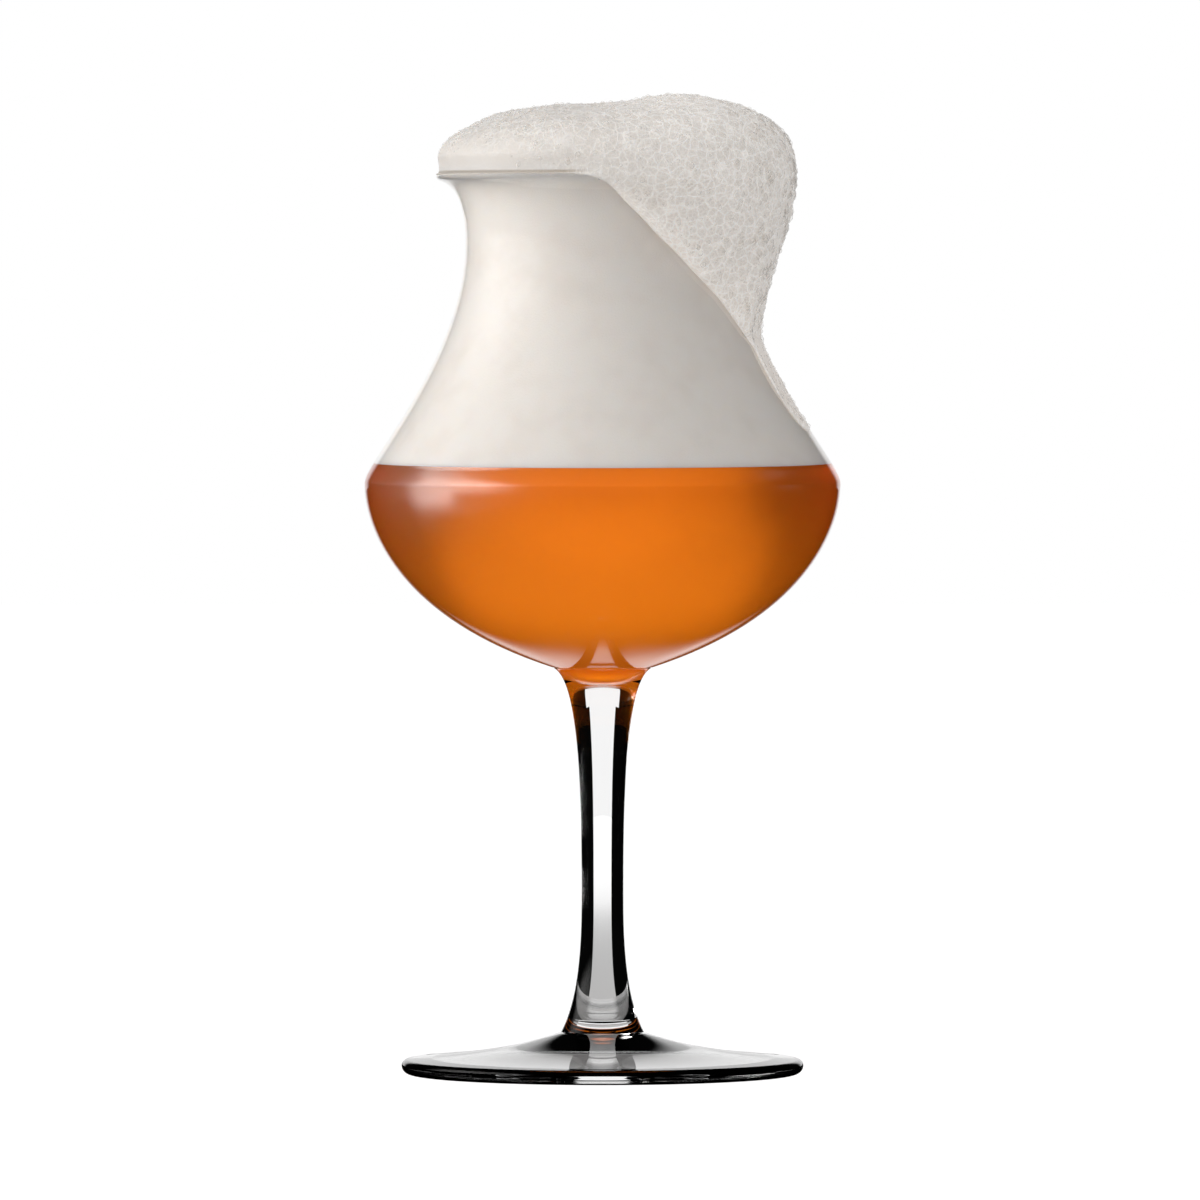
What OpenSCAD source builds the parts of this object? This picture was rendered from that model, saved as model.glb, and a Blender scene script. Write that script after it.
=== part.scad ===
// Stemmed tulip glass, full of hazy amber beer under a foam crown that has run over the rim.
// Millimetres, +Z up. The glass stands on z = 0 with its axis on Z, and the foam spills towards +X.

/* [Foot] */
// Diameter of the foot
foot_d = 80.4; // [60:0.2:110]
// Thickness of the foot at its edge
foot_edge_t = 2.9; // [2.2:0.1:5]
// Height of the widest place of the foot's rounded edge
foot_nose_h = 1.7; // [0.8:0.1:2]
// Rise of the foot's upper face, from its edge to the stem joint
foot_rise = 5.5; // [3:0.1:12]
// Width of the flat ring that the glass stands on
stand_ring_w = 4; // [2:0.5:10]
// Depth of the hollow under the foot, inside that ring
foot_hollow = 5; // [1:0.1:8]

/* [Stem] */
// Length from the foot joint up to the waist
stem_lower_l = 26; // [15:0.5:45]
// Length from the waist up to the edge of the bowl joint
stem_upper_l = 47; // [30:0.5:80]
// Diameter of the waist
stem_waist_d = 8.4; // [6:0.1:13]
// Diameter of the stem's lower end, on the foot
stem_base_d = 16.6; // [14:0.2:24]
// Diameter of the stem's head, around the bowl joint
stem_head_d = 20.6; // [15:0.2:28]
// Depth of the dished seat in the stem's head
seat_depth = 4.2; // [2:0.1:5.5]

/* [Bowl] */
// Height from the edge of the bowl joint up to the bulge
bulge_h = 36.8; // [25:0.2:55]
// Height from the bulge up to the neck
shoulder_h = 47.8; // [35:0.2:70]
// Height from the neck up to the top of the rim
lip_h = 14; // [9:0.2:22]
// Diameter of the bulge, the widest place
bulge_d = 95.2; // [75:0.1:120]
// Diameter of the neck, the narrowest place
neck_d = 54.8; // [40:0.2:70]
// Diameter over the rim
rim_d = 66.4; // [50:0.2:84]
// Slope of the underside at the bowl joint, in degrees
underside_angle = 18; // [5:1:25]
// Slope of the flared lip at its end, in degrees
lip_angle = 36; // [20:1:60]
// Thickness of the wall at the rim
rim_wall = 1.2; // [0.8:0.1:2]
// Thickness of the wall at the bulge
side_wall = 1.6; // [1:0.1:3]
// Thickness of the floor over the stem
floor_t = 1.8; // [1.2:0.1:4]

/* [Beer] */
// Height of the beer's surface above the edge of the bowl joint
beer_h = 40.2; // [15:0.2:75]

/* [Foam] */
// Height of the crown above the rim, on the axis
crown_h = 15; // [6:0.5:30]
// Height of the soft lumps on the crown
lump_h = 0.6; // [0:0.1:1.5]
// Distance between the lumps along the spill
lump_run = 34; // [20:1:60]
// Overhang of the crown past the rim, on the side of the spill
spill_overhang = 5.7; // [1:0.1:12]
// Overhang of the crown past the rim, on the far side
rest_overhang = 0.2; // [0.1:0.1:2]
// Drop of the foam's skirt below the rim
skirt_drop = 37; // [10:0.5:50]
// Drop of the narrow tongue below the rim
tongue_drop = 52; // [10:0.5:62]
// Half of the angle over which the foam has passed the rim, in degrees
skirt_half_angle = 101; // [60:1:150]
// Half of the tongue's angle, in degrees
tongue_half_angle = 22.5; // [10:0.5:40]
// Thickness of the thin foam of the tongue
tongue_t = 0.6; // [0.5:0.1:2]
// Thickness of the skirt above its rounded edge
skirt_t = 4.2; // [1:0.1:6]
// Depth of the foam's edge over the rim, on the far side
rim_lap = 0.3; // [0.1:0.1:1]
// Gap between the foam and the glass
foam_gap = 0.1; // [0.05:0.01:0.2]

/* [Hidden] */

// Smoothness of the turned pieces and of their curves
$fn = 128;
curve_steps = 12;

// How far the foot's rounded edge reaches in, above and below its widest place
foot_round_top = 1.3;
foot_round_bottom = 1.7;
// Slopes of the foot's upper face at the stem and at the edge, in degrees
foot_stem_slope = 20;
foot_edge_slope = 5;
// Least glass between the top of the hollow and the stem joint
foot_least_t = 2;

// Slopes of the stem's ends, in degrees from level
stem_head_slope = 13;
stem_base_slope = 62;

// Lengths of the handles that shape each curve, as shares of the span that the curve crosses
foot_face_share = 0.35;
stem_base_share = 0.25;
waist_below_share = 0.44;
waist_above_share = 0.4;
stem_head_share = 1;
seat_share = 0.5;
underside_share = 0.85;
bulge_below_share = 0.26;
bulge_above_share = 0.09;
neck_below_share = 0.465;
neck_above_share = 0.88;
lip_share = 0.1;
hollow_top_share = 0.3;
hollow_edge_share = 0.7;
hollow_lift_share = 0.18;

// Heights of the joints, the bulge, the neck and the rim above the table
foot_top = foot_edge_t + foot_rise;
waist_z = foot_top + stem_lower_l;
joint_z = waist_z + stem_upper_l;
bulge_z = joint_z + bulge_h;
neck_z = bulge_z + shoulder_h;
rim_z = neck_z + lip_h;
beer_z = joint_z + beer_h;

// Radii
foot_r = foot_d / 2;
waist_r = stem_waist_d / 2;
base_r = stem_base_d / 2;
head_r = stem_head_d / 2;
bulge_r = bulge_d / 2;
neck_r = neck_d / 2;
rim_r = rim_d / 2;
lip_r = rim_wall / 2;

// Points are [radius, height]. A curve is four such points: its start, two handles and its end.
function on_curve(c, t) =
    pow(1 - t, 3) * c[0] + 3 * pow(1 - t, 2) * t * c[1] + 3 * (1 - t) * t * t * c[2] + pow(t, 3) * c[3];
function along_curve(c, t) =
    pow(1 - t, 2) * (c[1] - c[0]) + 2 * (1 - t) * t * (c[2] - c[1]) + t * t * (c[3] - c[2]);
function points_of(c) = [for (k = [0:curve_steps]) on_curve(c, k / curve_steps)];
function towards(angle) = [cos(angle), sin(angle)];
function left_of(v) = [-v[1], v[0]] / norm(v);
function blend(a, b, t) = a + (b - a) * t;
function reversed(list) = [for (k = [len(list) - 1:-1:0]) list[k]];
function tail(list) = [for (k = [1:len(list) - 1]) list[k]];

// Foot
foot_rim_top = [foot_r - foot_round_top, foot_edge_t];
foot_span = foot_rim_top[0] - base_r;
foot_face = [
    foot_rim_top,
    foot_rim_top + foot_face_share * foot_span * towards(180 - foot_edge_slope),
    [base_r, foot_top] + foot_face_share * foot_span * towards(-foot_stem_slope),
    [base_r, foot_top]
];
ring_r = foot_r - foot_round_bottom - stand_ring_w;
hollow_h = min(foot_hollow, foot_top - foot_least_t);
foot_under = [
    [0, hollow_h],
    [hollow_top_share * ring_r, hollow_h],
    [hollow_edge_share * ring_r, hollow_lift_share * hollow_h],
    [ring_r, 0]
];
foot_edge_low = [
    for (a = [0:15:75])
        [foot_r - foot_round_bottom * (1 - sin(a)), foot_nose_h * (1 - cos(a))]
];
foot_edge_high = [
    for (a = [0:15:75])
        [foot_r - foot_round_top * (1 - cos(a)), blend(foot_nose_h, foot_edge_t, sin(a))]
];

// Stem, from its lower end to the edge of its head
stem_lower = [
    [base_r, foot_top],
    [base_r, foot_top] + stem_base_share * stem_lower_l * towards(180 - stem_base_slope),
    [waist_r, waist_z - waist_below_share * stem_lower_l],
    [waist_r, waist_z]
];
stem_upper = [
    [waist_r, waist_z],
    [waist_r, waist_z + waist_above_share * stem_upper_l],
    [head_r, joint_z] + stem_head_share * (head_r - waist_r) * towards(180 + stem_head_slope),
    [head_r, joint_z]
];

// Seat shared by the stem's head and the bowl's underside, from the axis to the edge of the joint
seat = [
    [0, joint_z - seat_depth],
    [seat_share * head_r, joint_z - seat_depth],
    [head_r, joint_z] + seat_share * head_r * towards(180 + underside_angle),
    [head_r, joint_z]
];

// Bowl, from the edge of the joint to the lip, which ends in a full round
lip_centre = [rim_r - lip_r, rim_z - lip_r];
lip_end = lip_centre + lip_r * towards(lip_angle - 90);
underside = [
    [head_r, joint_z],
    [head_r, joint_z] + underside_share * (bulge_r - head_r) * towards(underside_angle),
    [bulge_r, bulge_z - bulge_below_share * bulge_h],
    [bulge_r, bulge_z]
];
shoulder = [
    [bulge_r, bulge_z],
    [bulge_r, bulge_z + bulge_above_share * shoulder_h],
    [neck_r, neck_z - neck_below_share * shoulder_h],
    [neck_r, neck_z]
];
lip = [
    [neck_r, neck_z],
    [neck_r, neck_z + neck_above_share * lip_h],
    lip_end + lip_share * lip_h * towards(180 + lip_angle),
    lip_end
];
bowl_curves = [seat, underside, shoulder, lip];
bowl_walls = [floor_t, floor_t, side_wall, rim_wall, rim_wall];

// Outer and inner sides of the bowl, from the axis to the lip
function bowl_side(depth) = [
    for (i = [0:len(bowl_curves) - 1], k = [i == 0 ? 0 : 1:curve_steps])
        let (
            t = k / curve_steps,
            wall = blend(bowl_walls[i], bowl_walls[i + 1], t)
        )
        on_curve(bowl_curves[i], t) + depth * wall * left_of(along_curve(bowl_curves[i], t))
];
bowl_outside = bowl_side(0);
bowl_inside = bowl_side(1);
function lip_round(from, to, radius) = [
    for (k = [1:curve_steps / 2 - 1])
        lip_centre + radius * towards(blend(from, to, 2 * k / curve_steps))
];

// Radius of the inside at a height, and the inside between two heights
function height_table(points) = [for (p = points) [p[1], p[0]]];
function inside_r(z) = lookup(z, height_table(bowl_inside));
function inside_between(low, high) = [for (p = bowl_inside) if (p[1] > low && p[1] < high) p];

// Foam: number of places around, crowded towards the tongue
foam_sides = 72;
crowding = 1.3;
// Number of steps down the glass, around the edge, up the outside and over the crown
side_steps = 9;
edge_steps = 3;
dome_steps = 11;
// Form of the crown: squareness of its dome on both sides and its rise towards the spill
spill_dome_power = 2.5;
rest_dome_power = 3.2;
crown_lean_share = 0.1;
overhang_power = 2;
// Form of the lumps: where they start, their slant, and the lower and shorter ones that cross them
lump_start_share = 0.235;
lump_slant_share = 0.25;
cross_height_share = 0.4;
cross_run_share = 0.5;
// Form of the skirt: shares of its half angle, each with a share of its drop
skirt_shares = [
    [0, 1], [0.18, 1], [0.24, 0.9], [0.27, 0.84], [0.31, 0.765], [0.36, 0.68], [0.42, 0.61], [0.49, 0.53],
    [0.57, 0.43], [0.66, 0.33], [0.74, 0.225], [0.81, 0.14], [0.87, 0.05], [0.93, 0.013], [1, 0]
];
tongue_power = 5;
// Angles between which the skirt gets thick, and the largest share of the overhang that its edge takes
thin_angle = 20;
thick_angle = 62;
edge_share = 0.8;
// Drop at which the crown has drawn in to the glass, and the length over which the edge is rounded
tuck_run = 33;
edge_run = 2.4;

function place_around(j) =
    let (u = j / foam_sides * 2 - 1)
    180 * sign(u) * pow(abs(u), crowding);
function skirt_at(p) = skirt_drop * lookup(abs(p) / skirt_half_angle, skirt_shares);
function tongue_at(p) =
    tongue_drop * pow(max(0, 1 - pow(abs(p) / tongue_half_angle, tongue_power)), 1 / tongue_power);
function drop_at(p) = rim_lap + max(skirt_at(p), tongue_at(p));
function crown_r(p) = rim_r + rest_overhang + spill_overhang * pow((1 + cos(p)) / 2, overhang_power);
function dome_power(p) = blend(rest_dome_power, spill_dome_power, (1 + cos(p)) / 2);
function lump_at(x, y) =
    lump_h * sin(360 * ((x + lump_slant_share * y) / lump_run - lump_start_share))
    + cross_height_share * lump_h * sin(360 * y / (cross_run_share * lump_run));

// Outside of the glass with the gap, as heights and radii, with the round of the lip
glass_table = concat(
    height_table([for (p = bowl_outside) p + [foam_gap, 0]]),
    height_table([for (a = [-30:30:90]) lip_centre + (lip_r + foam_gap) * towards(a)])
);
function glass_r(drop) = lookup(rim_z + foam_gap - drop, glass_table);
function eased(low, high, x) = let (t = min(1, max(0, (x - low) / (high - low)))) t * t * (3 - 2 * t);
function edge_t(p) =
    let (
        thick = blend(tongue_t, skirt_t, eased(thin_angle, thick_angle, abs(p))),
        overhang = crown_r(p) - glass_r(drop_at(p))
    )
    max(rest_overhang, min(thick, edge_share * overhang));
// Radius of the skirt at a drop, with a share of its thickness
function foam_r(p, drop, full) =
    let (
        tuck = min(tuck_run, drop_at(p)),
        waist = glass_r(tuck) + edge_t(p),
        drawn = drop < tuck ? blend(crown_r(p), waist, eased(0, tuck, drop)) : 0
    )
    blend(glass_r(drop), max(glass_r(drop) + min(tongue_t, edge_t(p)), drawn), full);

// Foam inside the bowl, from the beer up to the top of the lip
foam_inside = concat(
    [[inside_r(beer_z) - foam_gap, beer_z]],
    [for (p = inside_between(beer_z, rim_z)) p - [foam_gap, 0]],
    lip_round(lip_angle + 90, 90, lip_r + foam_gap)
);
// Foam over the rim and down the glass, around the edge, up the outside and over the crown
function foam_outside(p) =
    let (
        drop = drop_at(p),
        edge = min(edge_run, drop / 2)
    )
    concat(
        [for (k = [0:side_steps]) let (d = drop * k / side_steps) [glass_r(d), rim_z + foam_gap - d]],
        [
            for (k = [1:edge_steps])
                let (a = 90 * k / edge_steps, d = drop - edge * (1 - cos(a)))
                [foam_r(p, d, sin(a)), rim_z + foam_gap - d]
        ],
        [
            for (k = [1:side_steps])
                let (d = (drop - edge) * (1 - k / side_steps))
                [foam_r(p, d, 1), rim_z + foam_gap - d]
        ],
        [
            for (k = [1:dome_steps - 1])
                let (
                    a = 90 * k / dome_steps,
                    r = crown_r(p) * pow(cos(a), 2 / dome_power(p)),
                    h = crown_h + crown_lean_share * r * cos(p),
                    lump = lump_at(r * cos(p), r * sin(p)) * sin(a)
                )
                [r, rim_z + foam_gap + h * pow(sin(a), 2 / dome_power(p))] + lump * towards(a)
        ]
    );

module foot() {
    color([0.9, 0.93, 0.94, 0.5])
        rotate_extrude()
            polygon(concat(
                points_of(foot_under),
                foot_edge_low,
                foot_edge_high,
                points_of(foot_face),
                [[0, foot_top]]
            ));
}

module stem() {
    color([0.86, 0.9, 0.92, 0.5])
        rotate_extrude()
            polygon(concat(
                [[0, foot_top]],
                points_of(stem_lower),
                tail(points_of(stem_upper)),
                tail(reversed(points_of(seat)))
            ));
}

module bowl() {
    color([0.92, 0.95, 0.96, 0.35])
        rotate_extrude()
            polygon(concat(
                bowl_outside,
                lip_round(lip_angle - 90, lip_angle + 90, lip_r),
                reversed(bowl_inside)
            ));
}

module beer() {
    color([0.89, 0.46, 0.12])
        rotate_extrude()
            polygon(concat(
                [for (p = bowl_inside) if (p[1] < beer_z) p],
                [[inside_r(beer_z), beer_z], [0, beer_z]]
            ));
}

module foam() {
    profiles = [for (j = [0:foam_sides - 1]) concat(foam_inside, foam_outside(place_around(j)))];
    rings = len(profiles[0]);
    points = concat(
        [[0, 0, beer_z], [0, 0, rim_z + foam_gap + crown_h + lump_at(0, 0)]],
        [
            for (k = [0:rings - 1], j = [0:foam_sides - 1])
                let (p = place_around(j), q = profiles[j][k])
                [q[0] * cos(p), q[0] * sin(p), q[1]]
        ]
    );
    function at(k, j) = 2 + k * foam_sides + j % foam_sides;
    sides = [
        for (k = [0:rings - 2], j = [0:foam_sides - 1], half = [0, 1])
            half == 0
                ? [at(k, j), at(k + 1, j), at(k + 1, j + 1)]
                : [at(k, j), at(k + 1, j + 1), at(k, j + 1)]
    ];
    floor = [for (j = [0:foam_sides - 1]) [0, at(0, j), at(0, j + 1)]];
    top = [for (j = [0:foam_sides - 1]) [1, at(rings - 1, j + 1), at(rings - 1, j)]];
    color([0.95, 0.93, 0.89])
        polyhedron(points, concat(sides, floor, top));
}

foot();
stem();
bowl();
beer();
foam();
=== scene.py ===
"""Studio view of a stemmed tulip glass full of hazy amber beer, with a foam crown that has run over its rim."""

import logging
import math
import random
from bisect import bisect_right
from dataclasses import dataclass
from enum import Enum
from typing import Any, Callable, Optional, Sequence

import bmesh
import bpy
from mathutils import Matrix, Vector, noise


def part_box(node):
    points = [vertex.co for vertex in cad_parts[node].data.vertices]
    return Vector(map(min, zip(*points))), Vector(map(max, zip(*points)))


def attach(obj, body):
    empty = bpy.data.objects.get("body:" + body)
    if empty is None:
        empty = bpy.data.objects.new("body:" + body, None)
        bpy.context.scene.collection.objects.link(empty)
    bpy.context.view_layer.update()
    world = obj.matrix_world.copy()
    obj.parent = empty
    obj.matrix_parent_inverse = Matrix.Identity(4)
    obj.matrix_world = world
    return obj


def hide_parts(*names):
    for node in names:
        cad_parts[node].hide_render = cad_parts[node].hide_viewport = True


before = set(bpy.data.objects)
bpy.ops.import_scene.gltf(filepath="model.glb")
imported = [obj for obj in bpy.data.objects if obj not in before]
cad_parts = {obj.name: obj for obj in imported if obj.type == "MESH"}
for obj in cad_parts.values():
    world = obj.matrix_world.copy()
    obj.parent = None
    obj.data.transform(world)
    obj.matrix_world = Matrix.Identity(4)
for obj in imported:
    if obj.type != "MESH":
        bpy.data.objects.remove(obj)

log = logging.getLogger("tulip_glass")
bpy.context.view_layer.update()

MM = 0.001
ROOT = "root"

Colour = tuple[float, float, float]
Profile = list[Vector]
Mesh = bmesh.types.BMesh
Node = bpy.types.Node
Material = bpy.types.Material
Piece = bpy.types.Object

WHITE: Colour = (1.0, 1.0, 1.0)


def towards(degrees: float) -> Vector:
    """The unit direction at an angle in a (radius, height) profile."""
    return Vector((math.cos(math.radians(degrees)), math.sin(math.radians(degrees))))


def blend(low: float, high: float, share: float) -> float:
    """The value that lies at a share of the way from low to high."""
    return low + (high - low) * share


def smooth(low: float, high: float, value: float) -> float:
    """A share from 0 at low to 1 at high, with soft ends."""
    share = min(1.0, max(0.0, (value - low) / (high - low)))
    return share * share * (3 - 2 * share)


@dataclass(frozen=True)
class Bend:
    """A profile curve: its start, two handles and its end, each a (radius, height) in millimetres."""

    start: Vector
    leave: Vector
    arrive: Vector
    end: Vector

    def at(self, t: float) -> Vector:
        """The point at a share t of the curve."""
        s = 1 - t
        return s**3 * self.start + 3 * s * s * t * self.leave + 3 * s * t * t * self.arrive + t**3 * self.end

    def left_of(self, t: float) -> Vector:
        """The unit direction to the left of the curve at a share t."""
        s = 1 - t
        run = s * s * (self.leave - self.start) + 2 * s * t * (self.arrive - self.leave)
        run += t * t * (self.end - self.arrive)
        return Vector((-run.y, run.x)).normalized()

    def points(self, steps: int) -> Profile:
        """Evenly stepped points from the start to the end."""
        return [self.at(k / steps) for k in range(steps + 1)]


def aimed(start: Vector, leave: float, leave_l: float, end: Vector, arrive: float, arrive_l: float) -> Bend:
    """A curve by its ends and by the angle in degrees and the length of the handle at each end."""
    return Bend(start, start + leave_l * towards(leave), end + arrive_l * towards(arrive), end)


def radius_at(profile: Sequence[Vector], height: float) -> float:
    """The radius of a rising profile at a height.

    Args:
        profile: points whose heights never fall.
        height: the height asked for, in millimetres.

    Returns:
        The radius, held at the ends of the profile.
    """
    high = bisect_right(profile, height, 1, len(profile) - 1, key=lambda point: point.y)
    a, b = profile[high - 1], profile[high]
    share = (height - a.y) / max(b.y - a.y, 1e-9)
    return blend(a.x, b.x, min(1.0, max(0.0, share)))


class Wire:
    """A shader value. Arithmetic on it adds Math nodes to its tree."""

    def __init__(self, shader: "Shader", socket: bpy.types.NodeSocket) -> None:
        """Holds a socket and the shader that it belongs to."""
        self.shader = shader
        self.socket = socket

    def maths(self, operation: str, *others: Any) -> "Wire":
        """The result of a Math node on this value and up to two others."""
        return self.shader.wire("ShaderNodeMath", dict(enumerate((self, *others))), operation=operation)

    def __add__(self, other: Any) -> "Wire":
        """This value plus another."""
        return self.maths("ADD", other)

    __radd__ = __add__

    def __mul__(self, other: Any) -> "Wire":
        """This value times another."""
        return self.maths("MULTIPLY", other)

    __rmul__ = __mul__

    def __sub__(self, other: Any) -> "Wire":
        """This value minus another."""
        return self.maths("SUBTRACT", other)

    def __rsub__(self, other: Any) -> "Wire":
        """Another value minus this one."""
        return (self * -1.0) + other

    def __pow__(self, power: float) -> "Wire":
        """This value to a power."""
        return self.maths("POWER", power)

    def over(self, low: float, high: float) -> "Wire":
        """A share from 0 at low to 1 at high, with soft ends."""
        inputs = {"Value": self, "From Min": low, "From Max": high}
        return self.shader.wire("ShaderNodeMapRange", inputs, interpolation_type="SMOOTHSTEP")

    def least(self, other: Any) -> "Wire":
        """The smaller of this value and another."""
        return self.maths("MINIMUM", other)

    def most(self, other: Any) -> "Wire":
        """The larger of this value and another."""
        return self.maths("MAXIMUM", other)


class Shader:
    """The node tree of one material or world."""

    def __init__(self, owner: bpy.types.ID) -> None:
        """Empties the owner's tree and takes it over."""
        owner.use_nodes = True
        self.owner = owner
        self.tree = owner.node_tree
        self.tree.nodes.clear()

    def node(self, kind: str, inputs: Optional[dict] = None, **settings: str) -> Node:
        """Adds one node.

        Args:
            kind: the node's type.
            inputs: a value, a colour, a Wire or a node for each socket, by name or number.
            settings: its properties.

        Returns:
            The new node.
        """
        node = self.tree.nodes.new(kind)
        for name, value in settings.items():
            setattr(node, name, value)
        for name, value in (inputs or {}).items():
            socket = node.inputs[name]
            if isinstance(value, Wire):
                self.tree.links.new(value.socket, socket)
            elif isinstance(value, Node):
                self.tree.links.new(value.outputs[0], socket)
            else:
                socket.default_value = (*value, 1.0) if socket.type == "RGBA" else value
        return node

    def wire(self, kind: str, inputs: Optional[dict] = None, out: Any = 0, **settings: str) -> Wire:
        """One output of a new node, as a value."""
        return Wire(self, self.node(kind, inputs, **settings).outputs[out])

    def place(self) -> Wire:
        """The piece's own coordinates, in metres."""
        return self.wire("ShaderNodeTexCoord", out="Object")

    def axis(self, vector: Wire, name: str) -> Wire:
        """One axis of a vector."""
        return self.wire("ShaderNodeSeparateXYZ", {0: vector}, name)

    def mix(self, share: Any, low: Any, high: Any) -> Wire:
        """A colour between two colours."""
        return self.wire("ShaderNodeMix", {0: share, 6: low, 7: high}, 2, data_type="RGBA")

    def noise(self, place: Wire, grain: float, detail: float = 2.0) -> Wire:
        """Cloudy noise from 0 to 1 with features of a size in millimetres."""
        return self.wire("ShaderNodeTexNoise", {"Vector": place, "Scale": 1 / (grain * MM), "Detail": detail})

    def cells(self, place: Wire, size: float, feature: str = "F1", out: str = "Distance") -> Wire:
        """Cells of a size in millimetres, as the distance from their centres or their own colours."""
        return self.wire("ShaderNodeTexVoronoi", {"Vector": place, "Scale": 1 / (size * MM)}, out, feature=feature)

    def light_path(self, kind: str) -> Wire:
        """One value of the Light Path node: 1 or 0 for a kind of ray, or a depth."""
        return self.wire("ShaderNodeLightPath", out=kind)

    def vector(self, operation: str, *vectors: Any, out: str = "Value") -> Wire:
        """The result of a Vector Math node."""
        return self.wire("ShaderNodeVectorMath", dict(enumerate(vectors)), out, operation=operation)

    def mirrored(self) -> Wire:
        """1 for rays that a mirror reflection has sent here, straight or through glass."""
        return self.light_path("Glossy Depth").least(1.0) * (1.0 - self.light_path("Is Diffuse Ray"))

    def held(self) -> Wire:
        """1 for rays that have come out through glass."""
        return self.light_path("Transmission Depth").least(1.0)

    def plain(self) -> Wire:
        """1 for the rays that carry light, neither seen nor mirrored."""
        seen = self.light_path("Is Camera Ray").most(self.light_path("Is Transmission Ray"))
        return 1.0 - seen.most(self.mirrored())

    def principled(self, inputs: dict) -> Node:
        """A surface of the common kind."""
        return self.node("ShaderNodeBsdfPrincipled", inputs)

    def clear(self, colour: Colour = WHITE) -> Node:
        """A surface that light passes straight, with a tint."""
        return self.node("ShaderNodeBsdfTransparent", {"Color": colour})

    def emission(self, strength: Wire, colour: Colour = WHITE) -> Node:
        """A surface that glows."""
        return self.node("ShaderNodeEmission", {"Color": colour, "Strength": strength})

    def either(self, share: Wire, first: Node, second: Node) -> Node:
        """The second surface by a share, and the first for the rest."""
        return self.node("ShaderNodeMixShader", {0: share, 1: first, 2: second})

    def surface(self, shader: Node) -> Material:
        """Ends the tree in a surface, and gives its material back."""
        self.node("ShaderNodeOutputMaterial", {"Surface": shader})
        return self.owner


@dataclass(frozen=True)
class ClearGlass:
    """Polished clear glass, which lets lamp light through to what it holds."""

    name: str = "clear_glass"
    ior: float = 1.5
    tint: Colour = (0.99, 0.99, 0.99)
    shade: Colour = (0.96, 0.965, 0.965)

    def material(self) -> Material:
        """Makes the material."""
        shader = Shader(bpy.data.materials.new(self.name))
        finish = {"Base Color": self.tint, "Roughness": 0.0, "IOR": self.ior, "Transmission Weight": 1.0}
        clear = shader.clear(self.shade)
        seen = shader.either(shader.light_path("Is Diffuse Ray"), shader.principled(finish), clear)
        return shader.surface(shader.either(shader.light_path("Is Shadow Ray"), seen, clear))


@dataclass(frozen=True)
class FusedJoint:
    """The faces where two pieces of glass are fused, which bend no light."""

    name: str = "fused_joint"

    def material(self) -> Material:
        """Makes the material."""
        shader = Shader(bpy.data.materials.new(self.name))
        return shader.surface(shader.clear())


@dataclass(frozen=True)
class HazyBeer:
    """Cloudy amber beer: some light is scattered in its haze, and the rest passes through, blurred. It carries a
    painted glow that grows towards its floor and a painted shade towards the foam.
    """

    top: float
    bottom: float
    name: str = "hazy_beer"
    amber: Colour = (1.0, 0.25, 0.014)
    # Darker amber of the painted shade under the foam
    foam_shade_amber: Colour = (0.74, 0.145, 0.004)
    deep: Colour = (0.98, 0.25, 0.004)
    # Colours of the painted glow, near the foam and near the floor: emission that stands in for light coming through
    # the haze
    painted_glow_top: Colour = (0.075, 0.019, 0.001)
    painted_glow_floor: Colour = (0.25, 0.067, 0.002)
    see_through: float = 0.87
    blur: float = 0.32
    ior: float = 1.34
    scatter_reach: Colour = (1.0, 0.35, 0.06)
    scatter_depth: float = 0.012
    gloss_blur: float = 0.16
    gloss_ior: float = 1.7
    haze_grain: float = 26.0
    haze_share: float = 0.12
    foam_shade_share: float = 0.8

    def level(self, share: float) -> float:
        """The height in metres at a share of the beer's depth, counted from its floor."""
        return blend(self.bottom, self.top, share) * MM

    def material(self) -> Material:
        """Makes the material."""
        shader = Shader(bpy.data.materials.new(self.name))
        place = shader.place()
        height = shader.axis(place, "Z")
        haze = shader.noise(place, self.haze_grain, 3.0).over(0.35, 0.7)
        # Painted shade: the beer darkens towards the foam head above it; the haze noise adds a random darker tone on
        # top
        foam_shade_mask = height.over(self.level(0.7), self.level(1.0))
        from_floor = height.over(self.level(0.5), self.level(0.1))
        colour = shader.mix(from_floor, self.amber, self.deep)
        dark = foam_shade_mask * self.foam_shade_share + haze * self.haze_share
        colour = shader.mix(dark, colour, self.foam_shade_amber)
        # Painted light: the beer's emission grows towards its floor
        sinking = height.over(self.level(0.88), self.level(0.2))
        glow = shader.mix(sinking, self.painted_glow_top, self.painted_glow_floor)
        finish = {
            "Base Color": colour,
            "Roughness": self.blur,
            "IOR": self.ior,
            "Transmission Weight": self.see_through,
            "Subsurface Weight": 1.0,
            "Subsurface Radius": self.scatter_reach,
            "Subsurface Scale": self.scatter_depth,
            "Coat Weight": 1.0,
            "Coat Roughness": self.gloss_blur,
            "Coat IOR": self.gloss_ior,
            "Emission Color": glow,
            "Emission Strength": 1.0,
        }
        return shader.surface(shader.principled(finish))


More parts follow.
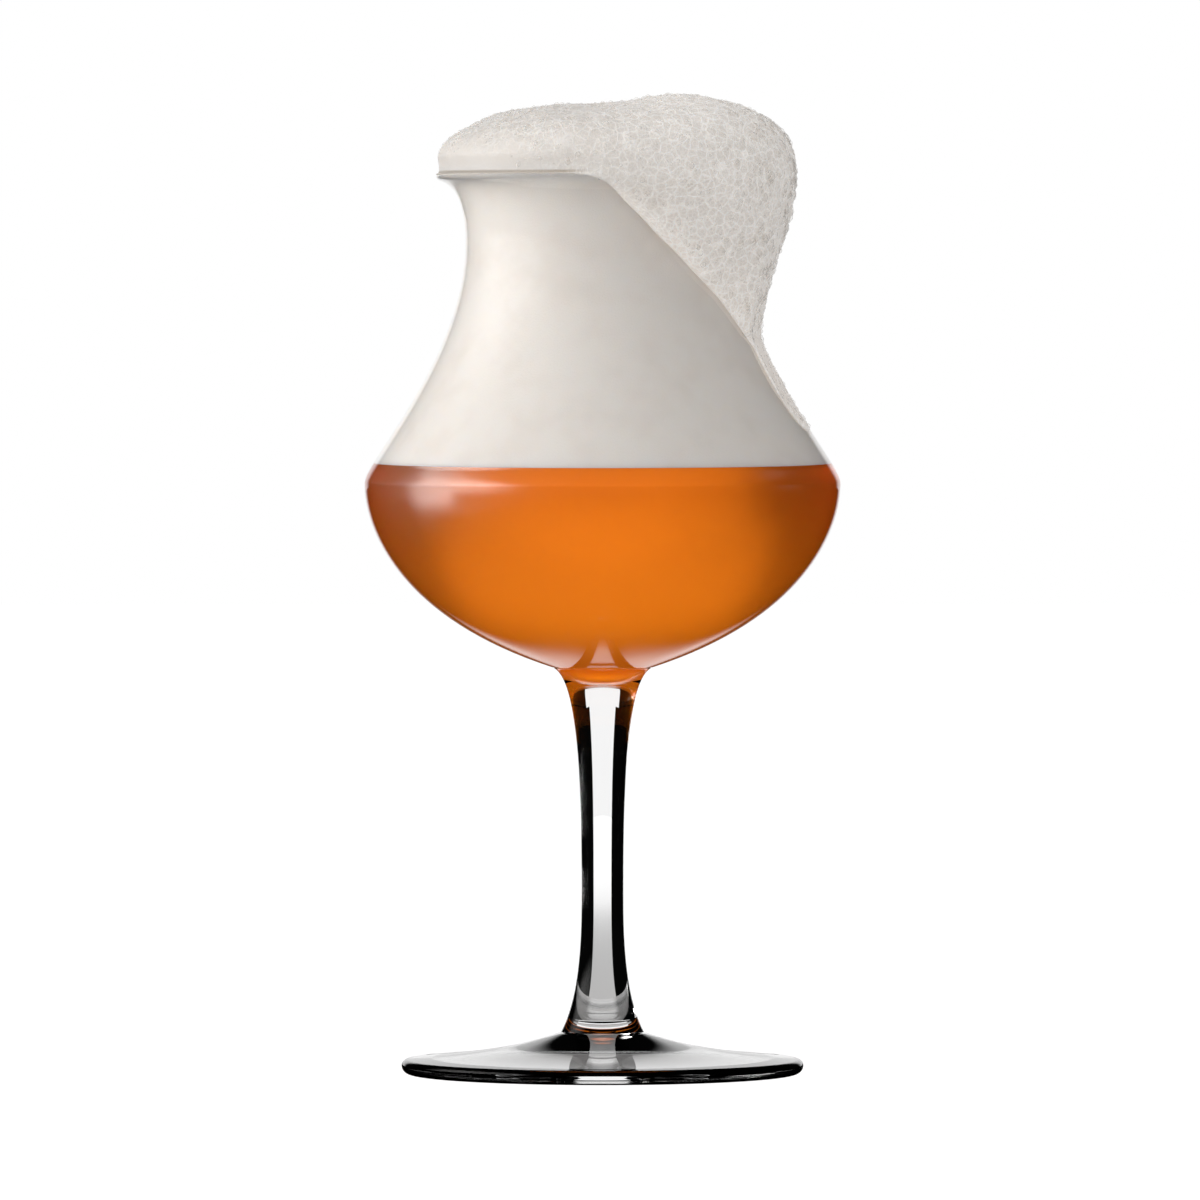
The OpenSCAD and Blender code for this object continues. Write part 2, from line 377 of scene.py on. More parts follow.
@dataclass(frozen=True)
class FoamCream:
    """Fine cream-white foam. Its froth attribute runs from smooth cream at 0 to coarse froth at 1. Its froth has
    painted highlights on the bubble walls and painted shade in the pits and cell middles; a painted shade line runs
    along the rim, and its glow is painted light.
    """

    name: str
    rim_z: float
    rim_r: float
    cream: Colour = (0.935, 0.875, 0.825)
    # hollow: a random darker tone and the painted shade of pits and cell middles; skin: the painted highlight of the
    # bubble walls
    hollow: Colour = (0.77, 0.7, 0.635)
    skin: Colour = (0.97, 0.95, 0.925)
    # Colour of the painted shade line along the rim
    wet: Colour = (0.3, 0.24, 0.18)
    # Emission colour on the left side of the painted glow; the right side glows in the foam's own colour
    painted_glow_dim: Colour = (0.2, 0.185, 0.17)
    cell: float = 0.85
    froth_cell: float = 1.9
    crater: float = 3.6
    depth: float = 0.0025
    scatter: float = 0.6
    scatter_reach: Colour = (1.0, 0.85, 0.7)
    # Strength of the painted glow, which stands in for light passing through the foam
    glow: float = 0.0
    roughness: float = 0.42
    ior: float = 1.33
    bump_share: float = 0.5
    bump_h: float = 0.6

    def seam(self, shader: Shader, place: Wire) -> Wire:
        """A painted shade line: the thin dark band where the foam lies on the rim, away from the spill."""
        height = shader.axis(place, "Z")
        radius = shader.vector("LENGTH", shader.vector("MULTIPLY", place, (1.0, 1.0, 0.0), out="Vector"))
        low, high = (self.rim_z - 0.5) * MM, (self.rim_z + 0.75) * MM
        band = height.over(low, self.rim_z * MM) * height.over(high, (self.rim_z + 0.25) * MM)
        return band * radius.over((self.rim_r + 0.9) * MM, (self.rim_r + 0.3) * MM)

    def material(self) -> Material:
        """Makes the material."""
        shader = Shader(bpy.data.materials.new(self.name))
        place = shader.place()
        froth = shader.wire("ShaderNodeAttribute", out="Fac", attribute_name="froth")
        fine = shader.noise(place, 0.35, 2.0)
        wide = shader.noise(place, 7.0, 3.0)
        small = shader.cells(place, self.cell, "DISTANCE_TO_EDGE")
        large = shader.cells(place, self.froth_cell, "DISTANCE_TO_EDGE")
        pits = shader.cells(place, self.crater)
        # Painted shade in the pits and cell middles and painted highlight on the bubble walls, beside the bump relief
        # below
        chosen = shader.axis(shader.cells(place, self.crater, out="Color"), "X").over(0.55, 0.9)
        pit = (1.0 - pits.over(0.1, 0.34)) * chosen * froth
        films = ((1.0 - large.over(0.02, 0.13)) * 0.6 + (1.0 - small.over(0.02, 0.16)) * 0.4) * froth
        dips = (large.over(0.08, 0.36) * 0.6 + small.over(0.1, 0.4) * 0.4) * froth
        colour = shader.mix(wide.over(0.4, 0.75) * 0.25 + fine * 0.1, self.cream, self.hollow)
        colour = shader.mix(pit * 0.5 + dips * 0.3, colour, self.hollow)
        colour = shader.mix(films * 0.55, colour, self.skin)
        # Painted shade: a thin dark line where the foam lies on the rim
        colour = shader.mix(self.seam(shader, place) * 0.75, colour, self.wet)
        # Painted light: the glow is dim on the left and full on the right, towards the spill
        lit = shader.mix(shader.axis(place, "X").over(-0.03, 0.03), self.painted_glow_dim, colour)
        height = fine * 0.2 + films * 0.8 + pit * -0.7
        relief = {"Strength": self.bump_share, "Distance": self.bump_h * MM, "Height": height}
        finish = {
            "Base Color": colour,
            "Roughness": self.roughness,
            "IOR": self.ior,
            "Subsurface Weight": self.scatter,
            "Subsurface Radius": self.scatter_reach,
            "Subsurface Scale": self.depth,
            "Emission Color": lit,
            "Emission Strength": self.glow,
            "Normal": shader.wire("ShaderNodeBump", relief),
        }
        return shader.surface(shader.principled(finish))


@dataclass(frozen=True)
class BubbleFilm:
    """The thin wet skin of a bubble: clear face on, and drawn as a line along its edge."""

    name: str
    colour: Colour = (0.97, 0.96, 0.945)
    inside: Colour = (0.97, 0.965, 0.96)
    least: float = 0.02
    most: float = 0.75
    sharpness: float = 2.0
    roughness: float = 0.1
    ior: float = 1.33

    def material(self) -> Material:
        """Makes the material."""
        shader = Shader(bpy.data.materials.new(self.name))
        edge = shader.wire("ShaderNodeLayerWeight", {"Blend": 0.5}, "Facing")
        finish = {"Base Color": self.colour, "Roughness": self.roughness, "IOR": self.ior}
        share = (edge ** self.sharpness) * (self.most - self.least) + self.least
        return shader.surface(shader.either(share, shader.clear(self.inside), shader.principled(finish)))


def finish_mesh(name: str, bm: Mesh, materials: Sequence[Material]) -> Piece:
    """Turns a bmesh into a piece with a smooth finish.

    Args:
        name: the piece's name.
        bm: its mesh, in metres, freed here.
        materials: its material slots.

    Returns:
        The linked object, at the origin.
    """
    for face in bm.faces:
        face.smooth = True
    for layer in bm.verts.layers.int.values():
        bm.verts.layers.int.remove(layer)
    mesh = bpy.data.meshes.new(name)
    bm.to_mesh(mesh)
    bm.free()
    for material in materials:
        mesh.materials.append(material)
    piece = bpy.data.objects.new(name, mesh)
    bpy.context.collection.objects.link(piece)
    return piece


def wrap(sides: int, rows: int, place: Callable[[int, int], Vector]) -> Mesh:
    """Wraps a grid about the Z axis into a closed skin.

    Args:
        sides: the number of faces round the axis.
        rows: the number of faces from the first pole to the last.
        place: gives the position in millimetres of a vertex from its side and row. The first and last rows are poles.

    Returns:
        A closed mesh in metres, with its faces outwards and with the side and row of each vertex in layers.
    """
    bm = bmesh.new()
    bmesh.ops.create_grid(bm, x_segments=sides, y_segments=rows, size=0.5)
    of_side, of_row = bm.verts.layers.int.new("side"), bm.verts.layers.int.new("row")
    seam = []
    for vert in bm.verts:
        side, row = round((vert.co.x + 0.5) * sides), round((0.5 - vert.co.y) * rows)
        vert[of_side], vert[of_row] = side % sides, row
        vert.co = place(side % sides, row) * MM
        if side in (0, sides) or row in (0, rows):
            seam.append(vert)
    bmesh.ops.remove_doubles(bm, verts=seam, dist=1e-7)
    bmesh.ops.recalc_face_normals(bm, faces=bm.faces)
    if bm.calc_volume(signed=True) < 0:
        bmesh.ops.reverse_faces(bm, faces=bm.faces)
    return bm


def lathe(profile: Sequence[Vector], sides: int, crease: float = 35.0) -> Mesh:
    """Turns a profile about the Z axis.

    Args:
        profile: points in millimetres, from the axis round the outside and back to the axis.
        sides: the number of faces in the turn.
        crease: the angle in degrees past which an edge stays sharp.

    Returns:
        A closed mesh in metres, with its faces outwards.
    """
    ring = [towards(360 * side / sides) for side in range(sides)]
    bm = wrap(sides, len(profile) - 1, lambda side, row: Vector((*(profile[row].x * ring[side]), profile[row].y)))
    for edge in bm.edges:
        edge.smooth = edge.calc_face_angle(0.0) < math.radians(crease)
    return bm


@dataclass
class Glassware:
    """The foot, the stem and the bowl, in millimetres. Heights come from the frame."""

    foot_d: float = 80.4
    foot_edge_t: float = 2.9
    foot_nose_h: float = 1.7
    foot_round_top: float = 1.3
    foot_round_bottom: float = 1.7
    stand_ring_w: float = 4.0
    foot_hollow: float = 5.0
    stem_base_d: float = 16.6
    stem_waist_d: float = 8.4
    stem_lower_l: float = 26.0
    stem_head_d: float = 20.6
    bulge_d: float = 95.2
    bulge_h: float = 36.8
    neck_d: float = 54.8
    lip_h: float = 14.0
    rim_d: float = 66.4
    rim_wall: float = 1.2
    side_wall: float = 1.6
    floor_t: float = 1.8
    underside_angle: float = 18.0
    lip_angle: float = 36.0
    seat_share: float = 0.5
    underside_share: float = 0.85
    bulge_below_share: float = 0.26
    bulge_above_share: float = 0.09
    neck_below_share: float = 0.465
    neck_above_share: float = 0.88
    lip_share: float = 0.1
    stem_base_slope: float = 62.0
    stem_head_slope: float = 13.0
    stem_base_share: float = 0.25
    waist_below_share: float = 0.44
    waist_above_share: float = 0.4
    foot_edge_slope: float = 5.0
    foot_stem_slope: float = 20.0
    foot_face_share: float = 0.35
    hollow_top_share: float = 0.3
    hollow_edge_share: float = 0.7
    hollow_lift_share: float = 0.18
    joint_slack: float = 0.02
    seat_slack: float = 0.06
    curve_steps: int = 32
    turn_steps: int = 180

    def __post_init__(self) -> None:
        """Takes the heights of the joints, the rim and the seat from the frame."""
        self.foot_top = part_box("foot")[1][2] / MM
        self.joint_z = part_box("stem")[1][2] / MM
        self.rim_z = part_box("bowl")[1][2] / MM
        self.seat_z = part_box("bowl")[0][2] / MM
        self.waist_z = self.foot_top + self.stem_lower_l
        self.bulge_z = self.joint_z + self.bulge_h
        self.neck_z = self.rim_z - self.lip_h
        self.lip_centre = Vector((self.rim_d / 2 - self.rim_wall / 2, self.rim_z - self.rim_wall / 2))
        self.outside = self.bowl_side(0.0)
        self.inside = self.bowl_side(1.0)
        self.seat_rise = [Vector((point.y, point.x)) for point in self.seat().points(self.curve_steps)]

    def seat(self) -> Bend:
        """The dished seat under the bowl, from the axis to the edge of the joint."""
        middle, edge = Vector((0, self.seat_z)), Vector((self.stem_head_d / 2, self.joint_z))
        handle = self.seat_share * edge.x
        return aimed(middle, 0, handle, edge, 180 + self.underside_angle, handle)

    def bowl_bends(self) -> list[Bend]:
        """The curves of the bowl's outside, from the axis to the lip."""
        joint = Vector((self.stem_head_d / 2, self.joint_z))
        bulge = Vector((self.bulge_d / 2, self.bulge_z))
        neck = Vector((self.neck_d / 2, self.neck_z))
        lip_end = self.lip_centre + self.rim_wall / 2 * towards(self.lip_angle - 90)
        under_l, shoulder_h = self.underside_share * (bulge.x - joint.x), self.neck_z - self.bulge_z
        lip_l = self.lip_share * self.lip_h
        return [
            self.seat(),
            aimed(joint, self.underside_angle, under_l, bulge, -90, self.bulge_below_share * self.bulge_h),
            aimed(bulge, 90, self.bulge_above_share * shoulder_h, neck, -90, self.neck_below_share * shoulder_h),
            aimed(neck, 90, self.neck_above_share * self.lip_h, lip_end, 180 + self.lip_angle, lip_l),
        ]

    def bowl_side(self, depth: float) -> Profile:
        """One side of the bowl's wall.

        Args:
            depth: 0 for the outside, 1 for the inside.

        Returns:
            The profile from the axis to the lip.
        """
        walls = [self.floor_t, self.floor_t, self.side_wall, self.rim_wall, self.rim_wall]
        points: Profile = []
        for number, bend in enumerate(self.bowl_bends()):
            for k in range(min(number, 1), self.curve_steps + 1):
                t = k / self.curve_steps
                points.append(bend.at(t) + depth * blend(walls[number], walls[number + 1], t) * bend.left_of(t))
        return points

    def lip_round(self, start: float, end: float, radius: float, steps: int = 12) -> Profile:
        """Points round the lip's edge, between two angles in degrees."""
        return [self.lip_centre + radius * towards(blend(start, end, k / steps)) for k in range(1, steps)]

    def bowl_profile(self) -> Profile:
        """The whole wall of the bowl."""
        edge = self.lip_round(self.lip_angle - 90, self.lip_angle + 90, self.rim_wall / 2)
        return self.outside + edge + self.inside[::-1]

    def stem_profile(self) -> Profile:
        """The stem, from the foot joint round to its seat."""
        base = Vector((self.stem_base_d / 2, self.foot_top))
        waist = Vector((self.stem_waist_d / 2, self.waist_z))
        head = Vector((self.stem_head_d / 2, self.joint_z))
        base_l, waist_l = self.stem_base_share * self.stem_lower_l, self.waist_below_share * self.stem_lower_l
        upper_l, head_l = self.waist_above_share * (self.joint_z - self.waist_z), head.x - waist.x
        lower = aimed(base, 180 - self.stem_base_slope, base_l, waist, -90, waist_l)
        upper = aimed(waist, 90, upper_l, head, 180 + self.stem_head_slope, head_l)
        steps = self.curve_steps
        seat = self.seat().points(steps)[::-1]
        return [Vector((0, self.foot_top))] + lower.points(steps) + upper.points(steps)[1:] + seat[1:]

    def foot_profile(self) -> Profile:
        """The foot, from its hollow round its edge to the stem joint."""
        r = self.foot_d / 2
        ring = r - self.foot_round_bottom - self.stand_ring_w
        under = Bend(
            Vector((0, self.foot_hollow)),
            Vector((self.hollow_top_share * ring, self.foot_hollow)),
            Vector((self.hollow_edge_share * ring, self.hollow_lift_share * self.foot_hollow)),
            Vector((ring, 0)),
        )
        top = Vector((r - self.foot_round_top, self.foot_edge_t))
        joint = Vector((self.stem_base_d / 2, self.foot_top))
        handle = self.foot_face_share * (top.x - joint.x)
        face = aimed(top, 180 - self.foot_edge_slope, handle, joint, -self.foot_stem_slope, handle)
        turns = [towards(angle) for angle in range(0, 90, 6)]
        low = [Vector((r - self.foot_round_bottom * (1 - a.y), self.foot_nose_h * (1 - a.x))) for a in turns]
        high = [Vector((top.x + self.foot_round_top * a.x, blend(self.foot_nose_h, top.y, a.y))) for a in turns]
        steps = self.curve_steps
        return under.points(steps) + low + high + face.points(steps) + [Vector((0, self.foot_top))]

    def is_joint(self, place: Vector) -> bool:
        """True for the middle of a face on a fused joint."""
        radius = math.hypot(place.x, place.y) / MM
        height = place.z / MM
        on_foot = radius < self.stem_base_d / 2 and abs(height - self.foot_top) < self.joint_slack
        seat = radius_at(self.seat_rise, radius)
        return on_foot or (radius < self.stem_head_d / 2 and abs(height - seat) < self.seat_slack)

    def build(self, glass: Material, joint: Material) -> list[Piece]:
        """Makes the three pieces of glass.

        Args:
            glass: the material of the surfaces that show.
            joint: the material of the fused faces.

        Returns:
            The foot, the stem and the bowl.
        """
        pieces = []
        profiles = {"foot": self.foot_profile(), "stem": self.stem_profile(), "bowl": self.bowl_profile()}
        for node, profile in profiles.items():
            bm = lathe(profile, self.turn_steps)
            for face in bm.faces:
                face.material_index = int(self.is_joint(face.calc_center_median()))
            piece = finish_mesh(f"{node}_glass", bm, [glass, joint])
            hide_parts(node)
            pieces.append(piece)
        return pieces


@dataclass
class BeerFill:
    """The beer in the bowl, in millimetres. It wets the glass, so its skin lies just inside the wall."""

    glass: Glassware
    wetting: float = 0.12
    turn_steps: int = 160

    def __post_init__(self) -> None:
        """Takes the beer's surface and floor from the frame."""
        low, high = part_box("beer")
        self.top = high[2] / MM
        self.bottom = low[2] / MM

    def profile(self) -> Profile:
        """The outline of the beer, from the axis under it to the axis on its surface."""
        wall = [p + Vector((min(self.wetting, p.x), -self.wetting)) for p in self.glass.inside if p.y < self.top]
        edge = Vector((radius_at(self.glass.inside, self.top) + self.wetting, self.top))
        return wall + [edge, Vector((0, self.top))]

    def build(self, beer: Material) -> Piece:
        """Makes the body of beer."""
        piece = finish_mesh("beer_body", lathe(self.profile(), self.turn_steps), [beer])
        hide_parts("beer")
        return piece


class Side(Enum):
    """Whether a part of the crown's skin shows or lies on the glass."""

    SHOWN = "shown"
    HIDDEN = "hidden"


@dataclass
class FoamMass:
    """The foam in the bowl, over the rim and down the side, in millimetres."""

    glass: Glassware
    beer: BeerFill
    crown_h: float = 14.5
    lump_h: float = 0.6
    lump_run: float = 34.0
    lump_start_share: float = 0.235
    lump_slant_share: float = 0.25
    cross_height_share: float = 0.4
    cross_run_share: float = 0.5
    spill_overhang: float = 5.6
    rest_overhang: float = 0.2
    overhang_power: float = 2.0
    spill_dome_power: float = 2.5
    rest_dome_power: float = 3.2
    skirt_drop: float = 37.0
    skirt_half_angle: float = 101.0
    tongue_drop: float = 52.0
    tongue_half_angle: float = 22.5
    tongue_power: float = 5.0
    tongue_wave: float = 1.6
    tongue_t: float = 0.6
    skirt_t: float = 4.2
    thin_angle: float = 20.0
    thick_angle: float = 62.0
    edge_share: float = 0.8
    rim_lap: float = 0.3
    crease: float = 0.7
    gap: float = 0.1
    cling: float = 0.02
    lip_sink: float = 0.05
    tuck_run: float = 33.0
    edge_run: float = 2.4
    lean: float = 0.1
    sides: int = 320
    crowding: float = 1.15
    dome_steps: int = 130
    side_steps: int = 110
    edge_steps: int = 8
    hidden_steps: int = 30
    floor_steps: int = 8

    def __post_init__(self) -> None:
        """Takes the outside of the glass, with the gap, up to the top of the lip."""
        reach = self.glass.rim_wall / 2 + self.gap
        wall = [p + Vector((self.gap, 0)) for p in self.glass.outside]
        edge = [self.glass.lip_centre + reach * towards(a) for a in range(-30, 91, 10)]
        self.glass_side = wall + edge
        self.top_z = self.glass.rim_z + self.gap
        self.rim_r = self.glass.rim_d / 2
        around = (0, 0.18, 0.24, 0.27, 0.31, 0.36, 0.42, 0.49, 0.57, 0.66, 0.74, 0.81, 0.87, 0.93, 1, 1.8)
        drops = (1, 1, 0.9, 0.84, 0.765, 0.68, 0.61, 0.53, 0.43, 0.33, 0.225, 0.14, 0.05, 0.013, 0, 0)
        self.skirt_line = [
            Vector((self.skirt_drop * drop, self.skirt_half_angle * share)) for drop, share in zip(drops, around)
        ]

    def skirt_at(self, angle: float) -> float:
        """Drop of the skirt below the rim at an angle from the spill, in degrees."""
        return sum(radius_at(self.skirt_line, abs(angle) + shift) for shift in (-2, -1, 0, 1, 2)) / 5

    def tongue_at(self, angle: float) -> float:
        """Drop of the wide tongue at an angle from the spill, with a wavy end."""
        wave = self.tongue_wave * (1 - math.cos(math.radians(angle + 23) * 4)) * smooth(22, 14, abs(angle))
        narrowing = max(0.0, 1 - (abs(angle) / self.tongue_half_angle) ** self.tongue_power)
        return (self.tongue_drop - wave) * narrowing ** (1 / self.tongue_power)

    def drop_at(self, angle: float) -> float:
        """Drop of the foam's lower edge at an angle from the spill."""
        return self.rim_lap + max(self.skirt_at(angle), self.tongue_at(angle))

    def edge_t(self, angle: float) -> float:
        """Thickness of the foam above its rounded lower edge, thick on the neck and thin on the tongue."""
        thick = blend(self.tongue_t, self.skirt_t, smooth(self.thin_angle, self.thick_angle, abs(angle)))
        overhang = self.crown_r(angle) - self.glass_r(self.drop_at(angle))
        return max(self.rest_overhang, min(thick, self.edge_share * overhang))

    def crown_r(self, angle: float) -> float:
        """Radius of the crown at the height of the rim."""
        facing = (1 + math.cos(math.radians(angle))) / 2
        return self.rim_r + self.rest_overhang + self.spill_overhang * facing**self.overhang_power

    def glass_r(self, drop: float) -> float:
        """Radius of the glass, with the gap, at a drop below the rim."""
        return radius_at(self.glass_side, self.top_z - drop)

    def outside(self, angle: float) -> list[Vector]:
        """The outside of the skirt at an angle, from the rim down to the rounded edge on the glass."""
        drop, thick, crown = self.drop_at(angle), self.edge_t(angle), self.dome(angle, 0.0).x
        tuck, run = min(self.tuck_run, drop), min(self.edge_run, drop / 2)
        waist = self.glass_r(tuck) + thick
        falls = [((drop - run) * k / self.side_steps, 1.0) for k in range(self.side_steps)]
        turns = [towards(90 * k / self.edge_steps) for k in range(self.edge_steps)]
        falls += [(drop - run * (1 - turn.y), turn.x) for turn in turns]
        points = []
        for fall, share in falls:
            glass = self.glass_r(fall)
            drawn = blend(crown, waist, smooth(0.0, tuck, fall)) if fall < tuck else 0.0
            radius = max(glass + min(self.tongue_t, thick), drawn)
            points.append(Vector((glass + (radius - glass) * share, self.top_z - fall)))
        return points

    def lump_at(self, x: float, y: float) -> float:
        """Height of the soft lumps over a place on the crown."""
        along = math.sin(math.tau * ((x + self.lump_slant_share * y) / self.lump_run - self.lump_start_share))
        across = math.sin(math.tau * y / (self.cross_run_share * self.lump_run))
        return self.lump_h * (along + self.cross_height_share * across)

    def dome(self, angle: float, turn: float) -> Vector:
        """A point on the crown, at a turn from 0 at the rim to 90 degrees at the top."""
        facing = math.cos(math.radians(angle))
        power = 2 / blend(self.rest_dome_power, self.spill_dome_power, (1 + facing) / 2)
        direction = towards(turn)
        radius = self.crown_r(angle) * max(direction.x, 0.0) ** power
        height = (self.crown_h + self.lean * radius * facing) * direction.y**power
        radius -= self.crease * smooth(11, 0, turn) * smooth(70, 105, abs(angle))
        lump = self.lump_at(*(radius * towards(angle))) * direction.y
        return Vector((radius, self.top_z + height)) + lump * Vector((max(direction.x, 0.0), direction.y))

    def column(self, angle: float) -> list[tuple[Vector, Side]]:
        """The crown's skin at one angle, from the top round the edge to the underside."""
        drop = self.drop_at(angle)
        shown = [self.dome(angle, 90 * (1 - k / self.dome_steps)) for k in range(self.dome_steps)]
        points = [(point, Side.SHOWN) for point in shown + self.outside(angle)]
        for k in range(self.hidden_steps + 1):
            fall = drop * (1 - k / self.hidden_steps)
            points.append((Vector((self.glass_r(fall), self.top_z - fall)), Side.HIDDEN))
        lip = self.glass.lip_centre.x
        for k in range(1, self.floor_steps + 1):
            points.append((Vector((lip * (1 - k / self.floor_steps), self.top_z)), Side.HIDDEN))
        return points

    def froth_at(self, place: Vector, side: Side) -> float:
        """How coarse the foam is at a place in millimetres: smooth by the rim away from the spill."""
        if side is Side.HIDDEN:
            return 0.0
        above = place.z - self.glass.rim_z
        towards_spill = smooth(-24.0, 16.0, place.x + 0.5 * above)
        high = smooth(3.0, 9.0, above + noise.noise(place * 0.12) * 3.0)
        return max(high, towards_spill * 0.9)

    def froth_on(self, place: Vector, normal: Vector) -> float:
        """Density of the small bubbles at a place in millimetres on the crown's skin."""
        outside = math.hypot(place.x, place.y) > self.rim_r - 8 or place.z > self.top_z + 2
        return self.froth_at(place, Side.SHOWN) if outside and normal.z > -0.6 else 0.0

    def films_on(self, place: Vector, normal: Vector) -> float:
        """Density of the large thin bubbles, on the side of the spill."""
        around = abs(math.degrees(math.atan2(place.y, place.x)))
        tall = smooth(self.top_z - 36, self.top_z - 24, place.z) * smooth(self.top_z + 15, self.top_z + 9, place.z)
        return smooth(52, 30, around) * tall if normal.x > 0.2 else 0.0

    def swell_at(self, place: Vector) -> float:
        """Height of the foam's lumps and bubbles at a place, in millimetres."""
        lumps = 0.35 * noise.noise(place * 0.11) + 0.2 * noise.noise(place * 0.27)
        cells = noise.voronoi(place * 0.33)[0][0]
        small = noise.voronoi(place * 0.7)[0][0]
        return lumps - 0.35 * min(cells, 0.9) - 0.16 * min(small, 0.9)

    def build_crown(self, foam: Material) -> Piece:
        """Makes the crown and the skirt, with their lumps and larger bubbles."""
        shares = [2 * side / self.sides - 1 for side in range(self.sides)]
        angles = [math.copysign(180 * abs(share) ** self.crowding, share) for share in shares]
        columns = [self.column(angle) for angle in angles]
        edges = [self.top_z - self.drop_at(angle) for angle in angles]

        def place(side: int, row: int) -> Vector:
            """Position of a vertex in millimetres."""
            point = columns[side][row][0]
            return Vector((*(point.x * towards(angles[side])), point.y))

        bm = wrap(self.sides, len(columns[0]) - 1, place)
        of_side, of_row = bm.verts.layers.int["side"], bm.verts.layers.int["row"]
        froth = bm.verts.layers.float.new("froth")
        bm.normal_update()
        for vert in bm.verts:
            spot, kind = vert.co / MM, columns[vert[of_side]][vert[of_row]][1]
            vert[froth] = self.froth_at(spot, kind)
            if kind is not Side.HIDDEN:
                share = blend(0.2, 1.0, vert[froth]) * smooth(0.3, 3.0, spot.z - edges[vert[of_side]])
                vert.co += vert.normal * self.swell_at(spot) * share * MM
        piece = finish_mesh("foam_crown", bm, [foam])
        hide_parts("foam")
        return piece

    def build_head(self, foam: Material) -> Piece:
        """Makes the foam inside the bowl, from the beer up to the crown."""
        wet = self.beer.wetting + self.cling
        floor = self.beer.top - self.beer.wetting
        low = Vector((radius_at(self.glass.inside, floor) + wet, floor))
        wall = [p + Vector((wet, 0)) for p in self.glass.inside if p.y > floor]
        turn = self.glass.lip_round(self.glass.lip_angle + 90, 90, self.glass.rim_wall / 2 - self.lip_sink)
        profile = [Vector((0, floor)), low] + wall + turn + [Vector((0, self.glass.rim_z))]
        bm = lathe(profile, self.beer.turn_steps)
        bm.verts.layers.float.new("froth")
        piece = finish_mesh("foam_head", bm, [foam])
        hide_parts("foam")
        return piece


@dataclass
class Bubbles:
    """Small open bubbles on the skin of a piece."""

    name: str
    count: int
    smallest: float
    largest: float
    seed: int
    sunk: float = 0.35
    chunk: int = 120

    def spots(self, skin: Piece, density: Callable[[Vector, Vector], float]) -> list[tuple[Vector, Vector]]:
        """Picks places on a skin.

        Args:
            skin: the piece that carries the bubbles.
            density: weight of a place from its position in millimetres and its normal.

        Returns:
            A position in metres and a normal for each bubble.
        """
        chance = random.Random(self.seed)
        faces = skin.data.polygons
        weights = [face.area * density(face.center / MM, face.normal) for face in faces]
        chosen = chance.choices(range(len(faces)), weights=weights, k=self.count)
        return [(faces[k].center.copy(), faces[k].normal.copy()) for k in chosen]

    def dome(self) -> bpy.types.Mesh:
        """One bubble of unit radius: the upper part of a sphere, closed below."""
        bm = bmesh.new()
        bmesh.ops.create_icosphere(bm, subdivisions=2, radius=1.0)
        whole = bm.verts[:] + bm.edges[:] + bm.faces[:]
        cut = bmesh.ops.bisect_plane(bm, geom=whole, plane_co=(0, 0, 0.02), plane_no=(0, 0, 1), clear_inner=True)
        rim = [item for item in cut["geom_cut"] if isinstance(item, bmesh.types.BMEdge)]
        bmesh.ops.contextual_create(bm, geom=rim)
        bmesh.ops.recalc_face_normals(bm, faces=bm.faces)
        mesh = bpy.data.meshes.new(f"{self.name}_dome")
        bm.to_mesh(mesh)
        bm.free()
        return mesh

    def build(self, spots: Sequence[tuple[Vector, Vector]], film: Material) -> Piece:
        """Makes the bubbles as one piece."""
        chance = random.Random(self.seed + 1)
        dome = self.dome()
        mesh = bpy.data.meshes.new(f"{self.name}_chunk")
        whole = bmesh.new()
        for start in range(0, len(spots), self.chunk):
            part = bmesh.new()
            for place, normal in spots[start:start + self.chunk]:
                first = len(part.verts)
                part.from_mesh(dome)
                part.verts.ensure_lookup_table()
                radius = blend(self.smallest, self.largest, chance.random() ** 2.2) * MM
                spin = Matrix.Rotation(chance.random() * math.tau, 4, "Z")
                turn = normal.to_track_quat("Z", "Y").to_matrix().to_4x4()
                where = Matrix.Translation(place - normal * radius * self.sunk)
                size = Matrix.Scale(radius, 4)
                bmesh.ops.transform(part, matrix=where @ turn @ spin @ size, verts=part.verts[first:])
            part.to_mesh(mesh)
            part.free()
            whole.from_mesh(mesh)
        bpy.data.meshes.remove(mesh)
        bpy.data.meshes.remove(dome)
        piece = finish_mesh(self.name, whole, [film])
        return piece


